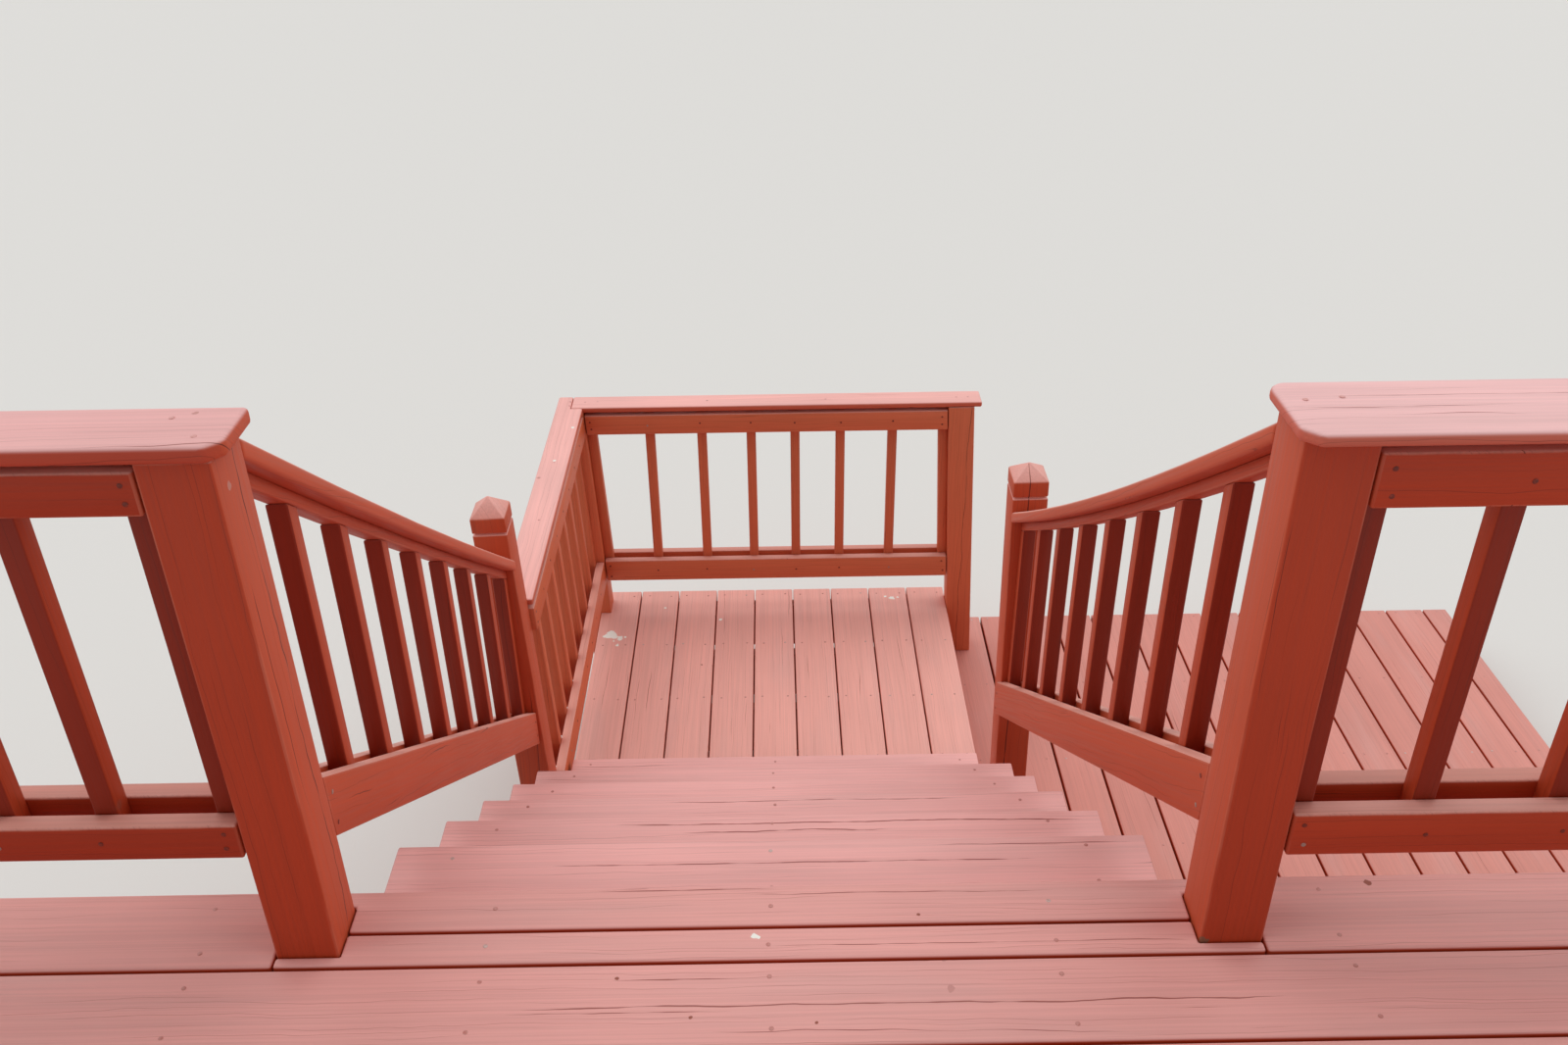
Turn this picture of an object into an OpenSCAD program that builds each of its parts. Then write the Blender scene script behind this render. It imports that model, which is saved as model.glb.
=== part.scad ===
// Wooden deck stairs: a flight of six plank treads from a raised deck down to a
// landing, with a low deck beside it, post and baluster guards and curved handrails.
// The flight runs along +Y, and the origin is on the ground under the middle of it all.

/* [Lumber] */
// Thickness of deck boards, treads and frame lumber
plank_t = 38; // [30:1:45]
// Width of a deck board
plank_w = 140; // [120:1:160]
// Gap between deck boards
plank_gap = 4.5; // [3:0.5:8]
// Side of a square post
post_w = 89; // [80:1:100]
// Side of a square baluster
baluster_w = 32; // [24:1:40]
// Depth of the stair's bottom rails
rail_h = 89; // [70:1:100]
// Width of the strip nailed beside each post
nailer_w = 38; // [12:1:40]

/* [Flight] */
// Height of one step
rise = 200; // [160:1:210]
// Steps between the landing and the deck
deck_steps = 7; // [5:1:9]
// Distance from one nosing to the next
run = 276.5; // [260:0.5:290]
// Distance from the deck's edge to the first nosing
first_nosing = 299; // [290:1:310]
// How far a tread stands past its stringer's plumb cut
nosing = 10; // [4:1:16]
// Clear width between the posts
open_w = 1220; // [1000:1:1400]
// Gap between the two planks of a tread
tread_gap = 3; // [2:0.5:6]
// Depth of the plank that the stringers are cut from
stringer_h = 286; // [270:1:300]
// Distance from a post's inner face to an outer stringer
stringer_in = 40; // [20:1:80]

/* [Deck] */
// Rows of deck boards
deck_rows = 10; // [6:1:12]
// Depth of the deck's joists and rim
joist_h = 235; // [184:1:286]
// Depth of the board below the rim that carries the stringers
header_h = 184; // [150:1:235]
// How far the rim's face stands past the boards
rim_out = 7; // [2:1:12]
// Distance between joists
joist_pitch = 406; // [380:1:420]
// Clear length of one guard bay
bay = 1845; // [1500:1:2000]
// Width of the narrow strip at the top of the flight
strip_w = 78; // [60:1:90]
// Clearance of a board round a post
notch_gap = 2; // [1:0.5:4]

/* [Deck guard] */
// Height of the guard above the deck, left and right guard
guard_h = [815, 818]; // [750:1:1000]
// Width of the guard's cap board, left and right guard
cap_w = [105, 140]; // [95:1:150]
// Thickness of the guard's cap board, left and right guard
cap_t = [22, 17]; // [15:1:38]
// How far a cap stands past its post, left and right guard
cap_over = [16, 11]; // [5:1:30]
// Size of the clipped near corner of a cap
cap_clip = 20; // [10:1:45]
// Radius of the round far corner of a cap, left and right guard
cap_round = [6, 22]; // [5:1:40]
// Gap between a cap and the rails under it, left and right guard
cap_gap = [12, 20]; // [0:1:25]
// Depth of the guard's rails, left and right guard
guard_rail_h = [58, 73]; // [50:1:100]
// Gap between a rail's end and its post
end_gap = 3; // [0:0.5:8]
// Height of the bottom rail's top edge above the deck, left and right guard
rail_up = [248, 236]; // [180:1:300]
// First baluster from the upper post, left and right guard
first_baluster = [185, 187]; // [100:1:200]
// Distance between balusters, left and right guard
baluster_pitch = [138, 184]; // [110:1:200]

/* [Stair rails] */
// Near face of the lower posts from the deck's edge
post_y = 1485; // [1420:1:1550]
// Height of the lower post's eaves above the landing, left and right
post_up = [1161, 1242]; // [1100:1:1300]
// How far outward the lower post's foot has moved, left and right
foot_out = [6, 28]; // [0:1:40]
// How far outward the lower post's eaves have moved, left and right
eaves_out = [59, 0]; // [0:1:80]
// How far outward the stair's rails end at the lower post, left and right
rail_out = [45, 0]; // [0:1:60]
// Height of the hipped top above its eaves, left and right
hip_h = [44, 35]; // [10:1:50]
// Distance from the eaves to the saw groove
groove_down = 45; // [30:1:60]
// Width and depth of the saw groove
groove = 6; // [2:0.5:8]
// Thickness of the curved handrail
handrail_t = 25; // [20:1:38]
// Depth of the curved rail under the handrail
subrail_h = 20; // [15:1:60]
// Handrail's top below the guard's top at the upper post, left and right
handrail_start = [36, 39]; // [30:1:60]
// Handrail's top below the lower post's eaves, left and right
handrail_end = [125, 86]; // [80:1:140]
// Sag of the handrail under a straight line, left and right
sag = [12, 26]; // [10:1:40]
// Bottom rail's top edge above the deck at the upper post
stair_rail_up = 252; // [200:1:260]
// Bottom rail's top edge below the lower post's eaves
stair_rail_end = 623; // [560:1:640]
// Balusters in a stair rail
stair_balusters = 8; // [6:1:9]

/* [Landing] */
// Far edge of the landing from the deck's edge
landing_far = 2880; // [2800:1:3000]
// Depth of the landing's rim
landing_rim_h = 184; // [170:1:235]
// Boards past the landing's far rim
landing_over = 17; // [5:1:30]
// Joists inside the landing
landing_joists = 3; // [2:1:5]
// Near face of the landing's guard posts from the landing's far edge
guard_in = 144; // [100:1:200]
// Height of the landing's guard
landing_guard_h = 855; // [800:1:950]
// How far the top of the landing's guard leans to the left
landing_lean = 35; // [0:1:50]
// Width of the landing's cap boards, flush with the posts on the inside
landing_cap_w = 91; // [89:1:140]
// Thickness of the landing's cap boards
landing_cap_t = 20; // [15:1:38]
// How far the landing's cap stands past its end post
landing_cap_over = 25; // [10:1:40]
// How far the far cap is let into the left one at the corner
landing_cap_lap = 40; // [0:1:60]
// Seam between the landing's cap boards
cap_seam = 1; // [0.5:0.5:3]
// Depth of the landing's top and bottom rails
landing_rail_h = [73, 85]; // [60:1:100]
// Bottom rail's top edge above the landing
landing_rail_up = 230; // [180:1:280]
// Balusters in the landing's left guard
left_balusters = 7; // [5:1:9]

/* [Low deck] */
// Whole boards of the low deck
low_boards = 13; // [10:1:14]
// Gap between the low deck's boards
low_gap = 6.75; // [3:0.25:8]
// Width of the low deck's last board
low_last_w = 91; // [60:1:140]
// Gap between the landing and the low deck
low_in = 24; // [4:1:40]
// Far edge of the low deck from the deck's edge
low_far = 2960; // [2880:1:3000]
// Depth of the low deck's joists
low_joist_h = 140; // [89:1:140]
// Bays between the low deck's joists
low_bays = 7; // [5:1:9]

/* [Hidden] */
$fn = 64;
deck_color = "#c9877a";
rail_color = "#a4503c";
frame_color = "#8c4636";
pitch = plank_w + plank_gap;
half = open_w / 2;
post_out = half + post_w;
// Levels, from the ground up
low_z = low_joist_h + plank_t;
landing_z = low_z + rise;
deck_z = landing_z + deck_steps * rise;
treads = deck_steps - 1;
joist_z = deck_z - plank_t - joist_h;
// The upper posts stand against the inside of the rim
post_far = rim_out - plank_t;
post_near = post_far - post_w;
deck_half = post_out + bay + post_w + plank_t;
deck_back = -(deck_rows * pitch - plank_gap);
rail_t = (post_w - baluster_w) / 2;
// Flight
slope = rise / run;
tread_d = 2 * plank_w + tread_gap;
stringer_x = half - stringer_in;
// The landing starts behind the lower posts, and whole boards span the flight and its rails
landing_rows = floor((open_w + post_w) / pitch);
landing_half = (landing_rows * pitch - plank_gap) / 2;
landing_near = post_y + post_w;
landing_rim_far = landing_far - landing_over;
landing_rim_z = landing_z - plank_t - landing_rim_h;
far_post_y = landing_far - guard_in;
landing_cap_z = landing_z + landing_guard_h - landing_cap_t;
// Places of the far guard's balusters, as shares of its length
far_shares = [0.149, 0.293, 0.43, 0.552, 0.678, 0.823];
low_x = landing_half + low_in;
low_pitch = plank_w + low_gap;
low_far_x = low_x + low_boards * low_pitch + low_last_w;
// Middle of the whole thing along the flight
middle_y = (low_far + deck_back) / 2;
// Straight steps in the outline of a curved rail
bends = 24;
// Length that is cut off each end of a piece that meets a post
spare = 8;

// A side is 0 for the left one and 1 for the right one
LEFT = 0;
RIGHT = 1;

function nosing_y(i) = first_nosing + (i - 1) * run;
function plumb_y(i) = nosing_y(i) - nosing;
function tread_z(i) = deck_z - i * rise;
function cap_z(side) = deck_z + guard_h[side] - cap_t[side];

// How far the landing's guard leans at a height
function lean(z) = landing_lean * (z - landing_z) / landing_guard_h;

// A board or post from one corner to the other
module box(low, high) {
    translate(low) cube(high - low);
}

// A piece of the landing's guard, which leans to the left
module leaning_box(low, high) {
    translate([0, high[1], 0]) rotate([90, 0, 0]) linear_extrude(high[1] - low[1]) polygon([
        [low[0] - lean(low[2]), low[2]], [high[0] - lean(low[2]), low[2]],
        [high[0] - lean(high[2]), high[2]], [low[0] - lean(high[2]), high[2]]
    ]);
}

// Mirrors the right side's pieces to the left
module on_side(side) {
    mirror([side == LEFT ? 1 : 0, 0, 0]) children();
}

// The extrusion of an outline drawn in Y and Z, from x0 to x1
module profile(x0, x1) {
    translate([x0, 0, 0])
        rotate([90, 0, 90])
            linear_extrude(x1 - x0) children();
}

// Room that a deck post needs in the boards
module post_room(x, y, z) {
    translate([x - notch_gap, y - notch_gap, z - 1])
        cube([post_w + 2 * notch_gap, post_w + 2 * notch_gap, plank_t + 2]);
}

// Deck boards: the first row is split by the flight's two narrow strips
module deck_strip(y0, y1) {
    difference() {
        box([-post_out, y0, deck_z - plank_t], [post_out, y1, deck_z]);
        for (side = [LEFT, RIGHT])
            on_side(side) post_room(half, post_near, deck_z - plank_t);
    }
}

module deck_boards() {
    color(deck_color) {
        deck_strip(-strip_w, 0);
        deck_strip(-plank_w, -strip_w - plank_gap);
        for (side = [LEFT, RIGHT])
            on_side(side) difference() {
                box([post_out + notch_gap, -plank_w, deck_z - plank_t], [deck_half, 0, deck_z]);
                post_room(post_out + bay, post_near, deck_z - plank_t);
            }
        for (row = [1 : deck_rows - 1])
            box([-deck_half, -row * pitch - plank_w, deck_z - plank_t],
                [deck_half, -row * pitch, deck_z]);
    }
}

module deck_rims() {
    color(frame_color) difference() {
        box([-deck_half, deck_back, joist_z], [deck_half, rim_out, joist_z + joist_h]);
        box([-deck_half + plank_t, deck_back + plank_t, joist_z - 1],
            [deck_half - plank_t, post_far, joist_z + joist_h + 1]);
    }
}

module deck_joists() {
    count = floor((deck_half - plank_t - post_w) / joist_pitch);
    color(frame_color) for (i = [-count : count])
        translate([i * joist_pitch - plank_t / 2, deck_back + plank_t, joist_z])
            cube([plank_t, post_far - deck_back - plank_t, joist_h]);
}

// Legs inside the back rim, one in line with each post of the guard
module deck_legs() {
    color(frame_color) for (side = [LEFT, RIGHT], x = [half, post_out + bay])
        on_side(side) translate([x, deck_back + plank_t, 0])
            cube([post_w, post_w, joist_z + joist_h]);
}

module stair_header() {
    color(frame_color)
        box([-post_out, post_far, joist_z - header_h], [post_out, rim_out, joist_z]);
}

// Upper posts run from the ground to the cap
module upper_post(side) {
    color(rail_color) on_side(side) translate([half, post_near, 0])
        cube([post_w, post_w, cap_z(side)]);
}

module guard_end_posts() {
    color(rail_color) for (side = [LEFT, RIGHT])
        on_side(side) translate([post_out + bay, post_near, 0])
            cube([post_w, post_w, cap_z(side)]);
}

// Cap board with a clipped near corner and a round far corner over the opening
module guard_cap(side) {
    x0 = half - cap_over[side];
    x1 = post_out + bay + post_w + cap_over[side];
    round = cap_round[side];
    y0 = post_near - (cap_w[side] - post_w) / 2;
    y1 = y0 + cap_w[side];
    color(rail_color) on_side(side) translate([0, 0, cap_z(side)]) linear_extrude(cap_t[side]) {
        polygon([
            [x0 + cap_clip, y0], [x1, y0], [x1, y1], [x0 + round, y1],
            [x0 + round, y1 - round], [x0, y1 - round], [x0, y0 + cap_clip]
        ]);
        translate([x0 + round, y1 - round]) circle(round);
    }
}

// Two heights of rails, each a pair: one on the near and one on the far face of the posts
module guard_rails(side) {
    color(rail_color) on_side(side)
        for (top = [cap_z(side) - cap_gap[side], deck_z + rail_up[side]], face = [0, post_w - rail_t])
            box([post_out + end_gap, post_near + face, top - guard_rail_h[side]],
                [post_out + bay - end_gap, post_near + face + rail_t, top]);
}

// Upright sticks between the rails, with a narrow one beside each post
module guard_balusters(side) {
    z0 = deck_z + rail_up[side] - guard_rail_h[side];
    step = baluster_pitch[side];
    room = bay - first_baluster[side] - nailer_w - 1.25 * baluster_w;
    module stick(x, width) {
        translate([x - width / 2, post_near + rail_t, z0]) cube([width, baluster_w, cap_z(side) - z0]);
    }
    color(rail_color) on_side(side) {
        for (x = [post_out + nailer_w / 2, post_out + bay - nailer_w / 2])
            stick(x, nailer_w);
        for (i = [0 : floor(room / step)])
            stick(post_out + first_baluster[side] + i * step, baluster_w);
    }
}

// Cut stringer: level cuts under the treads, plumb cuts between them
module stringer(x) {
    drop = stringer_h * sqrt(1 + slope * slope);
    edge = tread_z(1) - plank_t + slope * plumb_y(1) - drop;
    heel_y = (edge - landing_z) / slope;
    steps = [
        for (i = [1 : treads], end = [0, 1])
            [i + end == 1 ? rim_out : plumb_y(i + end - 1), tread_z(i) - plank_t]
    ];
    color(frame_color) profile(x, x + plank_t) polygon(concat(
        steps,
        [[plumb_y(treads), landing_z], [heel_y, landing_z], [rim_out, edge - slope * rim_out]]
    ));
}

// A tread is two planks, and the lowest one is cut to pass between the posts
module tread(i) {
    side = i == treads ? half - notch_gap : half + post_w / 2;
    color(deck_color) for (plank = [0, 1])
        box([-side, nosing_y(i) - tread_d + plank * (plank_w + tread_gap), tread_z(i) - plank_t],
            [side, nosing_y(i) - tread_d + plank * (plank_w + tread_gap) + plank_w, tread_z(i)]);
}

// Gable along one axis, and two of them crossed make the hipped top
module gable(height, hip) {
    rotate([90, 0, 0]) linear_extrude(post_w, center = true) polygon([
        [-post_w / 2, -spare], [post_w / 2, -spare], [post_w / 2, height],
        [0, height + hip], [-post_w / 2, height]
    ]);
}

module hipped_post(height, hip) {
    difference() {
        intersection() {
            gable(height, hip);
            rotate([0, 0, 90]) gable(height, hip);
        }
        translate([0, 0, height - groove_down - groove / 2]) linear_extrude(groove)
            difference() {
                square(post_w + 2, center = true);
                square(post_w - 2 * groove, center = true);
            }
    }
}

// Lower post: it leans, with its foot cut level, the right one on the low deck's boards
module lower_post(side) {
    foot = side == RIGHT ? low_z : 0;
    height = landing_z + post_up[side] - foot;
    tilt = atan((eaves_out[side] - foot_out[side]) / height);
    color(rail_color) on_side(side) intersection() {
        translate([half + post_w / 2 + foot_out[side], post_y + post_w / 2, foot])
            rotate([0, tilt, 0]) hipped_post(height, hip_h[side]);
        translate([half, post_y, foot])
            cube([2 * post_w, post_w, height + hip_h[side] + spare]);
    }
}

// How far a place is on the way from the upper post to the lower one, from 0 to 1
function way(y) = (y - post_far) / (post_y - post_far);
function rail_low(side) = landing_z + post_up[side];

// Height of the handrail's top, which sags between the posts
function handrail_z(side, y) = let (
    high = deck_z + guard_h[side] - handrail_start[side],
    low = rail_low(side) - handrail_end[side]
) high + (low - high) * way(y) - 4 * sag[side] * way(y) * (1 - way(y));

// Height of a curve that lies at a depth under the handrail's top
function curve_z(side, y, depth) = handrail_z(side, y) - depth * sqrt(1 + pow(rail_fall(side), 2));
function rail_fall(side) = (handrail_z(side, post_far) - handrail_z(side, post_y)) / (post_y - post_far);

// Turns a side's rails outward to meet the lower post, and cuts them between the posts
module stair_rail(side) {
    turn = atan(rail_out[side] / (post_y - post_far));
    middle = [half + post_w / 2, post_far, 0];
    color(rail_color) on_side(side) intersection() {
        translate(middle) rotate([0, 0, -turn]) translate(-middle) children();
        box([half - post_w, post_far, landing_z],
            [post_out + post_w, post_y, deck_z + guard_h[side]]);
    }
}

// A rail that follows the curve between two depths, centred on the posts
module curved_rail(side, width, depth0, depth1) {
    x = half + (post_w - width) / 2;
    length = post_y - post_far + 2 * spare;
    places = [for (k = [0 : bends]) post_far - spare + length * k / bends];
    stair_rail(side) profile(x, x + width) polygon(concat(
        [for (y = places) [y, curve_z(side, y, depth0)]],
        [for (k = [bends : -1 : 0]) [places[k], curve_z(side, places[k], depth1)]]
    ));
}

module handrail(side) {
    curved_rail(side, post_w, 0, handrail_t);
}

module subrail(side) {
    curved_rail(side, baluster_w, handrail_t, handrail_t + subrail_h);
}

// Bottom rail's top edge, and its depth measured plumb
function bottom_rail_z(side, y) = deck_z + stair_rail_up
    + (rail_low(side) - stair_rail_end - deck_z - stair_rail_up) * way(y);
function bottom_rail_h(side) = let (
    fall = (bottom_rail_z(side, 0) - bottom_rail_z(side, 1))
) rail_h * sqrt(1 + fall * fall);

module bottom_rails(side) {
    y0 = post_far - spare;
    y1 = post_y + spare;
    stair_rail(side) for (x = [half, post_out - rail_t])
        profile(x, x + rail_t) polygon([
            [y0, bottom_rail_z(side, y0)], [y1, bottom_rail_z(side, y1)],
            [y1, bottom_rail_z(side, y1) - bottom_rail_h(side)],
            [y0, bottom_rail_z(side, y0) - bottom_rail_h(side)]
        ]);
}

// Balusters stand between the bottom rails, each cut to the curve above it
module stair_baluster_row(side) {
    step = (post_y - post_far - baluster_w / 2) / stair_balusters;
    under = handrail_t + subrail_h;
    stair_rail(side) for (i = [1 : stair_balusters]) {
        y0 = post_far + i * step - baluster_w / 2;
        y1 = y0 + baluster_w;
        profile(half + rail_t, half + rail_t + baluster_w) polygon([
            [y0, bottom_rail_z(side, y0) - bottom_rail_h(side)],
            [y1, bottom_rail_z(side, y1) - bottom_rail_h(side)],
            [y1, curve_z(side, y1, under)], [y0, curve_z(side, y0, under)]
        ]);
    }
}

module landing_boards() {
    color(deck_color) for (row = [0 : landing_rows - 1])
        translate([row * pitch - landing_half, landing_near, landing_z - plank_t])
            cube([plank_w, landing_far - landing_near, plank_t]);
}

module landing_frame() {
    step = (landing_rim_far - landing_near - plank_t) / (landing_joists + 1);
    inside = landing_half - plank_t;
    top = landing_rim_z + landing_rim_h;
    color(frame_color) {
        difference() {
            box([-landing_half, landing_near, landing_rim_z], [landing_half, landing_rim_far, top]);
            box([-inside, landing_near + plank_t, landing_rim_z - 1],
                [inside, landing_rim_far - plank_t, top + 1]);
        }
        for (i = [1 : landing_joists])
            box([-inside, landing_near + i * step, landing_rim_z],
                [inside, landing_near + i * step + plank_t, top]);
    }
}

module landing_legs() {
    color(frame_color) for (side = [LEFT, RIGHT])
        on_side(side) for (y = [landing_near + plank_t, landing_rim_far - plank_t - post_w])
            translate([landing_half - plank_t - post_w, y, 0])
                cube([post_w, post_w, landing_rim_z + landing_rim_h]);
}

// The corner post is notched over the landing's edge and stands on its boards
module landing_corner_post() {
    color(rail_color) difference() {
        leaning_box([-post_out, far_post_y, landing_rim_z], [-half, far_post_y + post_w, landing_cap_z]);
        box([-landing_half, landing_near, landing_rim_z - 1], [landing_half, landing_far, landing_z]);
    }
}

module landing_end_post() {
    color(rail_color) leaning_box([landing_half, far_post_y, low_z],
                                  [landing_half + post_w, far_post_y + post_w, landing_cap_z]);
}

// The left cap runs over the corner post, and the far one is let into it
module landing_caps() {
    far = far_post_y + landing_cap_w;
    left = half + landing_cap_w;
    lap = half + landing_cap_lap;
    right = landing_half + post_w + landing_cap_over;
    color(rail_color) translate([-lean(landing_cap_z), 0, landing_cap_z]) {
        box([-lap, far_post_y, 0], [right, far, landing_cap_t]);
        difference() {
            box([-left, landing_near, 0], [-half, far, landing_cap_t]);
            box([-lap - cap_seam, far_post_y - cap_seam, -1], [right, far + 1, landing_cap_t + 1]);
        }
    }
}

// Tops of the landing's two heights of rails
landing_rail_tops = [landing_cap_z - cap_gap[LEFT], landing_z + landing_rail_up];
landing_stick_z = landing_z + landing_rail_up - landing_rail_h[1];

module landing_rails_far() {
    color(rail_color) for (i = [0, 1], face = [0, post_w - rail_t])
        leaning_box([-half + end_gap, far_post_y + face, landing_rail_tops[i] - landing_rail_h[i]],
                    [landing_half - end_gap, far_post_y + face + rail_t, landing_rail_tops[i]]);
}

module landing_rails_left() {
    color(rail_color) for (i = [0, 1], face = [0, post_w - rail_t])
        leaning_box([-post_out + face, landing_near + end_gap, landing_rail_tops[i] - landing_rail_h[i]],
                    [-post_out + face + rail_t, far_post_y - end_gap, landing_rail_tops[i]]);
}

// A stick that leans with the landing's guard, by its low corner
module landing_baluster(x, y) {
    leaning_box([x, y, landing_stick_z], [x + baluster_w, y + baluster_w, landing_cap_z]);
}

// The far guard's balusters are plumb, apart from the two beside its leaning posts
module landing_balusters_far() {
    color(rail_color) {
        for (share = far_shares)
            translate([share * (half + landing_half) - half - baluster_w / 2, far_post_y + rail_t,
                       landing_stick_z])
                cube([baluster_w, baluster_w, landing_cap_z - landing_stick_z]);
        for (x = [-half, landing_half - baluster_w])
            landing_baluster(x, far_post_y + rail_t);
    }
}

module landing_balusters_left() {
    step = (far_post_y - landing_near - baluster_w) / (left_balusters + 1);
    color(rail_color) for (i = [0 : left_balusters + 1])
        landing_baluster(-post_out + rail_t, landing_near + i * step);
}

// The low deck's last board is ripped to the width that was left
module low_deck_boards() {
    color(deck_color) for (i = [0 : low_boards])
        translate([low_x + i * low_pitch, rim_out, low_joist_h])
            cube([i < low_boards ? plank_w : low_last_w, low_far - rim_out, plank_t]);
}

module low_deck_frame() {
    step = (low_far - rim_out - plank_t) / low_bays;
    color(frame_color) {
        for (x = [low_x, low_far_x - plank_t])
            box([x, rim_out, 0], [x + plank_t, low_far, low_joist_h]);
        for (i = [0 : low_bays])
            box([low_x, rim_out + i * step, 0], [low_far_x, rim_out + i * step + plank_t, low_joist_h]);
    }
}

// Moves the flight so that the origin is under the middle of the whole
module centred() {
    translate([0, -middle_y, 0]) children();
}

centred() deck_boards();
centred() deck_rims();
centred() deck_joists();
centred() deck_legs();
centred() stair_header();
centred() upper_post(LEFT);  // upper_post_left
centred() upper_post(RIGHT);  // upper_post_right
centred() guard_end_posts();
centred() guard_cap(LEFT);  // guard_cap_left
centred() guard_cap(RIGHT);  // guard_cap_right
centred() guard_rails(LEFT);  // guard_rails_left
centred() guard_rails(RIGHT);  // guard_rails_right
centred() guard_balusters(LEFT);  // guard_balusters_left
centred() guard_balusters(RIGHT);  // guard_balusters_right
centred() stringer(-stringer_x);  // stringer_left
centred() stringer(-plank_t / 2);  // stringer_middle
centred() stringer(stringer_x - plank_t);  // stringer_right
centred() tread(1);  // tread_1
centred() tread(2);  // tread_2
centred() tread(3);  // tread_3
centred() tread(4);  // tread_4
centred() tread(5);  // tread_5
centred() tread(6);  // tread_6
centred() lower_post(LEFT);  // lower_post_left
centred() lower_post(RIGHT);  // lower_post_right
centred() handrail(LEFT);  // handrail_left
centred() handrail(RIGHT);  // handrail_right
centred() subrail(LEFT);  // subrail_left
centred() subrail(RIGHT);  // subrail_right
centred() bottom_rails(LEFT);  // bottom_rails_left
centred() bottom_rails(RIGHT);  // bottom_rails_right
centred() stair_baluster_row(LEFT);  // stair_balusters_left
centred() stair_baluster_row(RIGHT);  // stair_balusters_right
centred() landing_boards();
centred() landing_frame();
centred() landing_legs();
centred() landing_corner_post();
centred() landing_end_post();
centred() landing_caps();
centred() landing_rails_far();
centred() landing_rails_left();
centred() landing_balusters_far();
centred() landing_balusters_left();
centred() low_deck_boards();
centred() low_deck_frame();
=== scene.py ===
"""Looks of the wooden deck stairs: planed lumber, nailed up and coated with a solid red stain.

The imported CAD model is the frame. Each of its nodes is shown by a dressed copy of the same
size with eased edges, and nail heads are added where a board crosses what carries it.
Sizes are in metres, +Y runs down the flight and +Z is up.
"""
import math
import random

import bpy
from mathutils import Matrix, Vector
from mathutils.bvhtree import BVHTree


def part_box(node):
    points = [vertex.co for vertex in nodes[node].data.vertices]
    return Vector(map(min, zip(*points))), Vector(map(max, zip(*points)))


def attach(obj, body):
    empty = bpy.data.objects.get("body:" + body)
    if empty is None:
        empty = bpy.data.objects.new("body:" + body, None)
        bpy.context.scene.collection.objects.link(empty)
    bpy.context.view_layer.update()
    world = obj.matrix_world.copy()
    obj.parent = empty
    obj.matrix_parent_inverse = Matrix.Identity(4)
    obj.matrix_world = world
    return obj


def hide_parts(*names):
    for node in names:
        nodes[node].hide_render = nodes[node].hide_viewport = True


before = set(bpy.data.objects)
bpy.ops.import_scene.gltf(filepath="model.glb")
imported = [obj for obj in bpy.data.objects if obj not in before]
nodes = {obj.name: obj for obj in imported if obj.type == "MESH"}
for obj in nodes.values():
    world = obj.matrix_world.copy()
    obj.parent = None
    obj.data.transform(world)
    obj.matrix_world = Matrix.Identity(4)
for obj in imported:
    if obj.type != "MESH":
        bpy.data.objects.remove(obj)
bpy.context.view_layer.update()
random.seed(11)

# Width of the photograph, and the lens that its perspective gives
IMAGE_W = 1600
FOCAL_PX = 1383.1
SENSOR_MM = 36.0

# Camera at eye height on the raised deck, looking down the flight
CAMERA_PLACE = (0.0212, -2.2147, 3.284)
CAMERA_TURN = 0.0049
CAMERA_DOWN = math.radians(31.03)
CAMERA_ROLL = -0.0132
CAMERA_REACH = 200.0


def make_camera():
    """The camera, at the photograph's viewing angle."""
    lens = bpy.data.cameras.new("photo_camera")
    lens.sensor_width = SENSOR_MM
    lens.lens = FOCAL_PX * SENSOR_MM / IMAGE_W
    lens.clip_end = CAMERA_REACH
    camera = bpy.data.objects.new("photo_camera", lens)
    bpy.context.scene.collection.objects.link(camera)
    turn = (Matrix.Rotation(-CAMERA_TURN, 4, "Z")
            @ Matrix.Rotation(math.pi / 2 - CAMERA_DOWN, 4, "X")
            @ Matrix.Rotation(CAMERA_ROLL, 4, "Z"))
    camera.matrix_world = Matrix.Translation(CAMERA_PLACE) @ turn
    bpy.context.scene.camera = camera


make_camera()
bpy.context.scene.view_settings.view_transform = "Standard"


def color(code):
    """Linear colour of an sRGB hex code."""
    parts = [int(code[i:i + 2], 16) / 255 for i in (1, 3, 5)]
    return tuple(c / 12.92 if c <= 0.04045 else ((c + 0.055) / 1.055) ** 2.4 for c in parts) + (1.0,)


def feed(tree, node, inputs):
    """Sets inputs, by name or in order, to numbers, hex codes, or a node or output that feeds them."""
    for key, value in inputs.items() if isinstance(inputs, dict) else enumerate(inputs):
        if isinstance(value, bpy.types.Node):
            value = value.outputs[0]
        if isinstance(value, bpy.types.NodeSocket):
            tree.links.new(value, node.inputs[key])
        else:
            node.inputs[key].default_value = color(value) if isinstance(value, str) else value


def add(tree, kind, inputs=(), **settings):
    """Adds a shader node with its settings, and feeds its inputs."""
    node = tree.nodes.new("ShaderNode" + kind)
    for name, value in settings.items():
        setattr(node, name, value)
    feed(tree, node, inputs)
    return node


# Setting of a Map Range node that eases in and out
SMOOTH = {"interpolation_type": "SMOOTHSTEP"}
# Sockets of a Mix node that mixes colours
MIX_MASK, MIX_BASE, MIX_COAT, MIX_RESULT = 0, 6, 7, 2


def paint(tree, base, coats):
    """Lays coats over a base colour, one after another; each is a mask and the coat's colour."""
    for mask, coat in coats:
        mix = add(tree, "Mix", {MIX_MASK: mask, MIX_BASE: base, MIX_COAT: coat}, data_type="RGBA")
        base = mix.outputs[MIX_RESULT]
    return base


# Octaves of noise in most patterns
DETAIL = 3.0
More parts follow.
